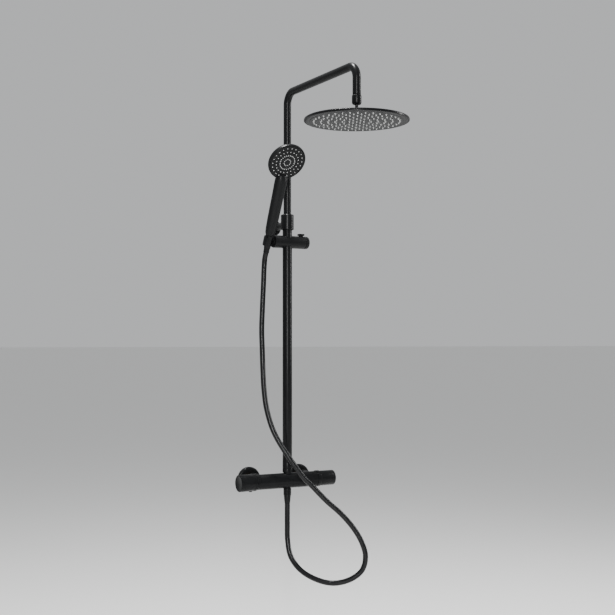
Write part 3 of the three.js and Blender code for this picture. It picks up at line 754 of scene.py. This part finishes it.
for radius, start, end in ((10, IN_BAR_WALL, 25), (8.3, -31, -IN_BAR_WALL)):
    spout = lathe("spout", [(radius, start), (radius, end)], sides=64)
    settle(spout, RISER_AT)
    combine(bar, spout, "UNION")
soften(bar, 0.25)
hand_over(bar, "valve_body")

# %% Cover plates and union nuts
UNION_HOLE = 13.3
STUB_HOLE = 11.3
NUT_FLOOR = 6.4
for word in ("left", "right"):
    low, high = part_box(f"escutcheon_{word}")
    at = ((low.x + high.x) / 2, 0, 0)
    plate_radius = (high.x - low.x) / 2 / MM
    plate = lathe(f"cover_plate_{word}", [
        (plate_radius - 3.5, 0), (plate_radius, 0), (plate_radius, 7.5), (plate_radius - 0.5, 9),
        (plate_radius - 1.5, 10), (plate_radius - 3, 10.7), (plate_radius - 5, 11),
        (UNION_HOLE, 11), (UNION_HOLE, 8.5),
        (plate_radius - 3.5, 8.5),
    ], sides=128, closed=True)
    settle(plate, at, TO_MINUS_Y)
    soften(plate, 0.3)
    hand_over(plate, f"escutcheon_{word}")
    near, far = -reach_of(f"union_nut_{word}", Y)[1], -reach_of(f"union_nut_{word}", Y)[0]
    nut_radius = half_width(f"union_nut_{word}", X)
    union = lathe(f"inlet_nut_{word}", [
        (UNION_HOLE, near), (nut_radius - 1.5, near), (nut_radius, near + 1.5),
        *grooves(nut_radius, (near + 6, far - 6)),
        (nut_radius, far - 1.5), (nut_radius - 1.5, far), (STUB_HOLE, far), (STUB_HOLE, far - NUT_FLOOR),
        (UNION_HOLE, far - NUT_FLOOR),
    ], closed=True)
    settle(union, at, TO_MINUS_Y)
    soften(union, 0.25)
    hand_over(union, f"union_nut_{word}")

# %% [markdown]
# ## Handles
# Each handle is a turned cap over the bar's end. The temperature handle is the wider one, with fine
# rings round its outer end for wet fingers and a safety button underneath.

# %% Handle shells and caps
HANDLE_START = 95
HUB_FROM, WEB_FROM, SPINDLE_STOP, WEB_TO = 100, 120, 126, 128
HUB_RADIUS = 8
SPINDLE_HOLE = 4.8
SCREW_HOLE = 2.5
CAP_DEPTH = 3


def handle_shell(name, stations, direction):
    shell = lathe(name, stations, sides=128, closed=True)
    settle(shell, RISER_AT, direction)
    return shell


def handle_inside(radius, end):
    """The hidden inner outline, from the outer end back to the skirt."""
    seat = radius - 1.5
    skirt = radius - 3
    return [(seat, end), (seat, end - CAP_DEPTH), (seat - 1.5, end - CAP_DEPTH), (seat - 1.5, WEB_TO),
            (SCREW_HOLE, WEB_TO), (SCREW_HOLE, SPINDLE_STOP), (SPINDLE_HOLE, SPINDLE_STOP),
            (SPINDLE_HOLE, HUB_FROM), (HUB_RADIUS, HUB_FROM), (HUB_RADIUS, WEB_FROM),
            (skirt, WEB_FROM), (skirt, HANDLE_START)]


warm_radius = half_width("temperature_handle", Y)
warm_end = -reach_of("temperature_handle", X)[0]
FINE_RINGS = [warm_end - 9 + 2.3 * k for k in range(4)]
warm = handle_shell("temperature_knob", [
    (warm_radius - 0.6, HANDLE_START), (warm_radius, HANDLE_START + 0.6),
    *grooves(warm_radius, (96.8, 102.2)),
    *grooves(warm_radius, FINE_RINGS, 0.6, 1.5),
    (warm_radius, warm_end - 1), (warm_radius - 1, warm_end), *handle_inside(warm_radius, warm_end),
], TO_MINUS_X)
button_low, button_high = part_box("stop_button")
button_at = (button_low + button_high) / 2
button_radius = (button_high.x - button_low.x) / 2 / MM - 1.1
well = lathe("button_well", [(button_radius + GAP, -24), (button_radius + GAP, -12)], sides=48)
settle(well, (button_at.x, -REACH, 0))
combine(warm, well, "DIFFERENCE")
soften(warm, 0.2)
hand_over(warm, "temperature_handle")

cool_radius = half_width("flow_handle", Y)
cool_end = reach_of("flow_handle", X)[1]
cool = handle_shell("flow_knob", [
    (cool_radius - 0.6, HANDLE_START), (cool_radius, HANDLE_START + 0.6),
    (cool_radius, cool_end - 1), (cool_radius - 1, cool_end), *handle_inside(cool_radius, cool_end),
], TO_X)
soften(cool, 0.25)
hand_over(cool, "flow_handle")

for word, radius, end, direction in (("temperature", warm_radius, warm_end, TO_MINUS_X),
                                     ("flow", cool_radius, cool_end, TO_X)):
    edge = radius - 1.8
    cap = lathe(f"{word}_cap", [
        (edge, end - CAP_DEPTH + GAP), (edge, end - 0.5), (edge - 0.5, end), (edge * 0.92, end),
        (edge * 0.88, end - 0.35), (0.3, end - 0.35),
    ], sides=128)
    settle(cap, RISER_AT, direction)
    soften(cap, 0.15)
    hand_over(cap, f"{word}_handle_cap")

# %% Safety button
button_tip = button_low.z / MM
button_back = button_high.z / MM
button = lathe("safety_button", [
    (button_radius + 1.1, button_back), (button_radius + 1.1, button_back - 1.2),
    (button_radius, button_back - 1.2), (button_radius, button_tip + 0.6),
    (button_radius - 0.5, button_tip + 0.1),
    (button_radius - 1.2, button_tip), (1.4, button_tip + 0.25), (0.2, button_tip + 0.3),
], sides=48)
settle(button, (button_at.x, -REACH, 0))
soften(button, 0.12)
hand_over(button, "stop_button")

# %% [markdown]
# ## Rain head
# A thin disc of 250 mm with a low dome behind it. Soft nozzles stand out of the face in six rings
# round a middle one, so that lime can be rubbed off.

# %% Ball joint
DROP_AT = Vector((0, -REACH - ARM_REACH * MM, 0))
ball_nut_low, ball_nut_high = reach_of("ball_nut", Z)
nut_radius = half_width("ball_nut", X)
BALL_HEIGHT = 932
joint_nut = lathe("ball_joint_nut", [
    (6.2, ball_nut_low), (nut_radius - 2, ball_nut_low), (nut_radius, ball_nut_low + 4),
    (nut_radius, ball_nut_high - 0.5), (nut_radius - 0.5, ball_nut_high), (9.8, ball_nut_high),
    (9.8, BALL_HEIGHT - 4), (6.2, BALL_HEIGHT - 6),
], closed=True)
settle(joint_nut, DROP_AT)
soften(joint_nut, 0.3)
hand_over(joint_nut, "ball_nut")

BALL_RADIUS = 8
STEM_RADIUS = 3.8
stem_low = reach_of("ball_stem", Z)[0]
first_angle = math.asin(STEM_RADIUS / BALL_RADIUS)
BALL_STEPS = 24
STEM_BORE = 2
last_angle = math.pi - math.asin(STEM_BORE / BALL_RADIUS)
ball_outline = []
for k in range(BALL_STEPS + 1):
    angle = first_angle + (last_angle - first_angle) * k / BALL_STEPS
    ball_outline.append((BALL_RADIUS * math.sin(angle), BALL_HEIGHT - BALL_RADIUS * math.cos(angle)))
stem = lathe("ball_and_stem", [
    (STEM_BORE, stem_low), (9, stem_low), (9, 905.4), (8.4, 906), (STEM_RADIUS, 906), *ball_outline,
], sides=64, closed=True)
settle(stem, DROP_AT)
soften(stem, 0.2)
hand_over(stem, "ball_stem")

# %% Disc and face
head_low, head_high = reach_of("head_shell", Z)
head_radius = half_width("head_shell", X)
HEAD_SIDES = 192
HUB_HOLE = 9.3
shell = lathe("rain_head", [
    (HUB_HOLE, head_high), (14, head_high), (15, head_high - 0.6), (16.5, head_low + 10.8),
    (19, head_low + 9.4),
    (60, head_low + 8.6), (head_radius - 8, head_low + 7.5), (head_radius - 3, head_low + 6.6),
    (head_radius - 1, head_low + 5.4), (head_radius, head_low + 3.4), (head_radius, head_low + 0.8),
    (head_radius - 0.8, head_low), (head_radius - 2.7, head_low), (head_radius - 2.7, head_low + 5),
    (20, head_low + 5.9), (5, head_low + 5.9), (5, head_low + 7.4), (HUB_HOLE, head_low + 7.4),
], sides=HEAD_SIDES, closed=True)
settle(shell, DROP_AT)
soften(shell, 0.25)
hand_over(shell, "head_shell")

plate_radius = half_width("head_face_plate", X)
face_plate = lathe("rain_face", [
    (plate_radius, head_low + 2), (plate_radius, head_low + 0.3), (plate_radius - 0.4, head_low),
    (plate_radius - 9, head_low), (plate_radius - 9.6, head_low + 0.4),
    (plate_radius - 10.4, head_low + 0.4), (plate_radius - 11, head_low), (0.3, head_low),
], sides=HEAD_SIDES)
settle(face_plate, DROP_AT)
soften(face_plate, 0.12)
hand_over(face_plate, "head_face_plate")

# %% [markdown]
# A nozzle is a short soft cone with a flat foot. It is modelled once, copied to its place in each
# ring, and all copies are joined with the mat that carries them.

# %% Nozzles


def nozzle(name, foot, tip, stand):
    """One nozzle that points down from height 0, in mm."""
    piece = lathe(name, [(foot, 1.4), (foot, -0.25), (foot * 0.72, -0.5), (tip, -stand + 0.25),
                         (tip * 0.8, -stand), (tip * 0.4, -stand), (tip * 0.3, -stand + 0.5)], sides=12)
    only(piece)
    bpy.ops.object.shade_smooth_by_angle(angle=SMOOTH_ANGLE)
    return piece


def nozzle_mat(mat, pattern, places):
    """Copies of the pattern at the places, joined with the mat."""
    copies = []
    for place in places:
        copy = pattern.copy()
        copy.data = pattern.data.copy()
        copy.data.transform(Matrix.Translation(place))
        bpy.context.scene.collection.objects.link(copy)
        copies.append(copy)
    bpy.data.objects.remove(pattern)
    only(mat)
    for copy in copies:
        copy.select_set(True)
    bpy.ops.object.join()
    return mat


def rings_of(rows):
    """Places on rings, each row (radius, count, first angle in degrees), radius in mm."""
    places = []
    for radius, count, first in rows:
        for k in range(count):
            angle = math.radians(first) + 2 * math.pi * k / count
            places.append(Vector((radius * math.cos(angle), radius * math.sin(angle), 0)) * MM)
    return places


RING_STEP = 17
RING_COUNT = 6
HALF_STEP = 180 / 6  # degrees, for a ring of six
rain_rows = [(0, 1, 0)]
rain_rows += [(RING_STEP * k, 6 * k, k % 2 * HALF_STEP / k) for k in range(1, RING_COUNT + 1)]
mat_radius = half_width("head_nozzle_mat", X)
mat_low, mat_high = reach_of("head_nozzle_mat", Z)
rain_mat = lathe("rain_nozzles", [(mat_radius, mat_low), (mat_radius, mat_high)], sides=96)
settle(rain_mat, DROP_AT)
rain_places = [place + DROP_AT + Vector((0, 0, head_low * MM)) for place in rings_of(rain_rows)]
nozzle_mat(rain_mat, nozzle("rain_nozzle", foot=2.1, tip=1.3, stand=3.4), rain_places)
hand_over(rain_mat, "head_nozzle_mat")
print("rain nozzles", len(rain_places))

# %% [markdown]
# ## Slider
# A short bar across the riser. Its right end has a rounded cap behind a groove, a tab on top frees
# the grip, and the holder turns in its left end.

# %% Slider body and cap
slider_low, slider_high = reach_of("slider_body", X)
slider_radius = half_width("slider_body", Y)
slider_z = sum(reach_of("slider_body", Z)) / 2
SLIDER_AT = Vector((0, -REACH, slider_z * MM))
carriage = lathe("slider_barrel", [
    (slider_radius - 0.8, slider_low), (slider_radius, slider_low + 0.8),
    (slider_radius, slider_high - 0.5), (slider_radius - 0.5, slider_high),
], sides=96)
settle(carriage, SLIDER_AT, TO_X)
PIVOT_DEPTH = 18.2
PARTITION = slider_low + PIVOT_DEPTH
BUSH_HOLE, BUSH_HALF = 14.5, 7.3
CAP_HOLE = 12
PIVOT_HOLE = 9.3
SHANK_HOLE, SCREW_HEAD_HOLE = 2.8, 5
hollows = [
    ([(RISER_HOLE, -20), (RISER_HOLE, 20)], SLIDER_AT, (0, 0, 0)),
    ([(BUSH_HOLE, -BUSH_HALF), (BUSH_HOLE, BUSH_HALF)], SLIDER_AT, (0, 0, 0)),
    ([(CAP_HOLE, 18), (CAP_HOLE, slider_high + 2)], SLIDER_AT, TO_X),
    ([(PIVOT_HOLE, slider_low - 2), (PIVOT_HOLE, PARTITION)], SLIDER_AT, TO_X),
    ([(SHANK_HOLE, PARTITION - 1), (SHANK_HOLE, -RISER_HOLE)], SLIDER_AT, TO_X),
    ([(SCREW_HEAD_HOLE, PARTITION + 4), (SCREW_HEAD_HOLE, -RISER_HOLE)], SLIDER_AT, TO_X),
]
for outline, at, turn in hollows:
    tool = lathe("bore", outline, sides=64)
    settle(tool, at, turn)
    combine(carriage, tool, "DIFFERENCE")
tab_low, tab_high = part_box("release_tab")
deselect()
stem_half = 4.4 * MM
SLOT_RISE = 12.8
slot_middle = (tab_low.x + tab_high.x) / 2 - 0.3 * MM
bpy.ops.mesh.primitive_cube_add(size=1, location=(slot_middle, -REACH, (slider_z + SLOT_RISE) * MM),
                                scale=(9.8 * MM, 2 * stem_half, 9.6 * MM))
combine(carriage, bpy.context.object, "DIFFERENCE")
soften(carriage, 0.3)
hand_over(carriage, "slider_body")

cap_from, cap_to = reach_of("slider_end_cap", X)
end_cap = lathe("slider_cap", [
    (9, cap_from + 5), (9, cap_from), (11.7, cap_from), (11.7, cap_from + 3),
    (slider_radius - 0.4, cap_from + 3),
    (slider_radius, cap_from + 3.4), (slider_radius, cap_to - 5), (slider_radius - 0.5, cap_to - 3),
    (slider_radius - 1.6, cap_to - 1.4), (slider_radius - 3.4, cap_to - 0.4),
    (slider_radius - 5.5, cap_to), (0.3, cap_to),
])
settle(end_cap, SLIDER_AT, TO_X)
soften(end_cap, 0.2)
hand_over(end_cap, "slider_end_cap")

# %% [markdown]
# The tab is a block with rounded edges. Three shallow grooves across its top, each cut with a thin
# cylinder, give it grip.

# %% Release tab
TAB_THICKNESS = 4.7
GRIP_STEP = 3.2
GRIP_RADIUS = 0.7
GRIP_RISE = 0.4
deselect()
tab_size = tab_high - tab_low
tab_middle = (tab_low.x + tab_high.x) / 2
bpy.ops.mesh.primitive_cube_add(size=1,
                                location=(tab_middle, -REACH, tab_high.z - TAB_THICKNESS * MM / 2),
                                scale=(tab_size.x, tab_size.y, TAB_THICKNESS * MM))
tab = bpy.context.object
tab.name = "grip_release"
bpy.ops.object.transform_apply(location=True, rotation=True, scale=True)
add_modifier(tab, "BEVEL", width=0.7 * MM, segments=3, limit_method="ANGLE", angle_limit=math.radians(40))
for k in (-1, 0, 1):
    deselect()
    groove_x = tab_middle + k * GRIP_STEP * MM
    bpy.ops.mesh.primitive_cylinder_add(vertices=24, radius=GRIP_RADIUS * MM, depth=20 * MM,
                                        location=(groove_x, -REACH, tab_high.z + GRIP_RISE * MM),
                                        rotation=(math.radians(90), 0, 0))
    combine(tab, bpy.context.object, "DIFFERENCE")
deselect()
stem_top = tab_high.z - 2 * MM
bpy.ops.mesh.primitive_cube_add(size=1, location=(slot_middle, -REACH, (tab_low.z + stem_top) / 2),
                                scale=(9 * MM, 8 * MM, stem_top - tab_low.z))
combine(tab, bpy.context.object, "UNION")
soften(tab, 0.1)
hand_over(tab, "release_tab")

# %% [markdown]
# ## Holder
# A short tapered ring, open at the front for the hose, on a pivot that turns in the slider.

# %% Holder ring
RING_HALF = 12
HOLDER_RADIUS = 13.8
HOLDER_PLAY = 0.36
PIVOT_RADIUS = 9
SCREW_WAY = 2.5
CONE_LOW, CONE_HIGH = -20, 16
CONE_LOW_RADIUS, CONE_HIGH_RADIUS = 8.6, 11


def cone_radius(height):
    """The cone nut's radius at a height along its axis, in mm."""
    widening = CONE_HIGH_RADIUS - CONE_LOW_RADIUS
    return CONE_LOW_RADIUS + widening * (height - CONE_LOW) / (CONE_HIGH - CONE_LOW)


ring = lathe("cone_holder", [
    (cone_radius(-RING_HALF) + HOLDER_PLAY, -RING_HALF), (HOLDER_RADIUS - 0.6, -RING_HALF),
    (HOLDER_RADIUS, -RING_HALF + 0.6), (HOLDER_RADIUS, RING_HALF - 0.6), (HOLDER_RADIUS - 0.6, RING_HALF),
    (cone_radius(RING_HALF) + HOLDER_PLAY, RING_HALF),
], closed=True)
pivot = lathe("pivot", [(PIVOT_RADIUS, 11.9), (PIVOT_RADIUS, 31.3)], sides=64)
settle(pivot, (0, 0, 0), TO_X)
combine(ring, pivot, "UNION")
screw_way = lathe("screw_way", [(SCREW_WAY, 18), (SCREW_WAY, 32)], sides=32)
settle(screw_way, (0, 0, 0), TO_X)
combine(ring, screw_way, "DIFFERENCE")
deselect()
bpy.ops.mesh.primitive_cube_add(size=1, location=(0, -12 * MM, 0), scale=(15 * MM, 14 * MM, 30 * MM))
combine(ring, bpy.context.object, "DIFFERENCE")
soften(ring, 0.4, 3)
settle(ring, HOLDER_AT, (LEAN, 0, 0))
hand_over(ring, "holder")

# %% [markdown]
# ## Hand shower
# A slim flattened handle that runs into the back of a round head. Handle and head are joined and
# remeshed, which rounds the place where they meet, as a moulding does.

# %% Body
FLATNESS = 0.86
FACE_AT = Vector((0, -14, 217.2)) * MM
FACE_TURN = math.radians(14.4 - 90)


def along_hand(piece):
    """Moves a piece from the cone's own frame to its place."""
    return settle(piece, HOLDER_AT, (LEAN, 0, 0))


grip = lathe("hand_shower", [
    (10.9, 16.3), (11, 17), (12.2, 20), (13.5, 24), (14.5, 36), (15.3, 60), (15.7, 90), (15.9, 120),
    (16.4, 145), (16.7, 160), (16.5, 167), (15.6, 173), (12.5, 179.5), (7, 185), (0.5, 187),
], sides=72)
grip.scale = (1, FLATNESS, 1)
settle(grip)
cup = lathe("cup", [
    (46.8, 5.4), (46.8, 0.6), (48.6, 0.2), (49.5, 0.9), (50, 2.6), (50, 6.5), (49.2, 9.2), (47.4, 12.2),
    (44, 14.8), (39, 17), (30, 18), (0.5, 18),
], sides=128)
settle(cup, FACE_AT, (FACE_TURN, 0, 0))
combine(grip, cup, "UNION")
REMESH_SIZE = 0.75
SMOOTH_STEPS = 8
add_modifier(grip, "REMESH", mode="VOXEL", voxel_size=REMESH_SIZE * MM)
add_modifier(grip, "SMOOTH", factor=0.5, iterations=SMOOTH_STEPS)
only(grip)
bpy.ops.object.shade_smooth()
along_hand(grip)
hand_over(grip, "hand_shower_body")

# %% Face with its steps
FACE_RADIUS = 46.5
shower_face = lathe("hand_face", [
    (FACE_RADIUS, 3.3), (FACE_RADIUS, 0.9), (FACE_RADIUS - 0.5, 0.5), (45.3, 0.5), (45.0, 0.9),
    (35.6, 0.9), (35.2, 0.6), (34.6, 0.6), (34.2, 0.9), (25.8, 0.9), (25.4, 0.6), (24.8, 0.6),
    (24.4, 0.9), (15.2, 0.9), (14.8, 0.5), (0.3, 0.5),
], sides=128)
settle(shower_face, FACE_AT, (FACE_TURN, 0, 0))
soften(shower_face, 0.08)
along_hand(shower_face)
hand_over(shower_face, "hand_shower_face")

# %% Hand shower nozzles
HAND_ROWS = [(9, 11, 0), (20, 24, 5), (30, 20, 0), (40, 22, 8)]
FACE_RISE = 0.6
hand_mat = lathe("hand_nozzles", [(45, 3.6), (45, 5)], sides=96)
hand_places = [place + Vector((0, 0, FACE_RISE * MM)) for place in rings_of(HAND_ROWS)]
nozzle_mat(hand_mat, nozzle("hand_nozzle", foot=1.2, tip=0.7, stand=1.6), hand_places)
settle(hand_mat, FACE_AT, (FACE_TURN, 0, 0))
along_hand(hand_mat)
hand_over(hand_mat, "hand_shower_nozzle_mat")
print("hand shower nozzles", len(hand_places))

# %% [markdown]
# ## Hose ends
# A cone nut turns on the hose and seats in the holder. A plain nut screws to the bar. Each has a
# ferrule that holds the hose's end.

# %% Cone nut, nut and ferrules
HOSE_BORE = 3.5
NECK_HOLE = 7.4
OUTLET_HOLE = 8.6
NUT_FOOT = 2
cone_nut = lathe("hose_cone", [
    (5.2, -20), (8.1, -20), (8.6, -19.5), (10.7, 12), (11, 15.6), (10.6, 16), (8.3, 16), (8.3, 1),
    (5.2, 1),
], closed=True)
soften(cone_nut, 0.25)
along_hand(cone_nut)
hand_over(cone_nut, "hose_cone_nut")
top_ferrule = lathe("hose_collar_top", [
    (HOSE_BORE, -32.3), (7.5, -32.3), (7.8, -31.9), *grooves(7.8, (-28.6, -25.6), 0.4, 1.0), (7.8, -20.6),
    (7.5, -20.3), (4.9, -20.3), (4.9, 1.3), (8, 1.3), (8, 3), (HOSE_BORE, 3),
], closed=True)
soften(top_ferrule, 0.12)
along_hand(top_ferrule)
hand_over(top_ferrule, "hose_ferrule_top")

hose_nut_low, hose_nut_high = reach_of("hose_nut", Z)
hose_nut_radius = half_width("hose_nut", X)
outlet_nut = lathe("outlet_nut", [
    (OUTLET_HOLE, hose_nut_high), (hose_nut_radius - 0.6, hose_nut_high),
    (hose_nut_radius, hose_nut_high - 0.6),
    *reversed(grooves(hose_nut_radius, [hose_nut_low + rise for rise in (4, 7, 10)], 0.4, 1.2)),
    (hose_nut_radius, hose_nut_low + 0.6), (hose_nut_radius - 0.6, hose_nut_low),
    (NECK_HOLE, hose_nut_low), (NECK_HOLE, hose_nut_low + NUT_FOOT),
    (OUTLET_HOLE, hose_nut_low + NUT_FOOT),
], closed=True)
settle(outlet_nut, RISER_AT)
soften(outlet_nut, 0.15)
hand_over(outlet_nut, "hose_nut")
bottom_ferrule = lathe("hose_collar_bottom", [
    (HOSE_BORE, -60), (7.2, -60), (7.4, -59.6), (8, -54), (8.9, -44), (9.4, -39), (9.2, -38.5),
    (7.1, -38.5), (7.1, -35.9), (8.2, -35.9), (8.2, -33.4), (HOSE_BORE, -33.4),
], closed=True)
settle(bottom_ferrule, RISER_AT)
soften(bottom_ferrule, 0.12)
hand_over(bottom_ferrule, "hose_ferrule_bottom")
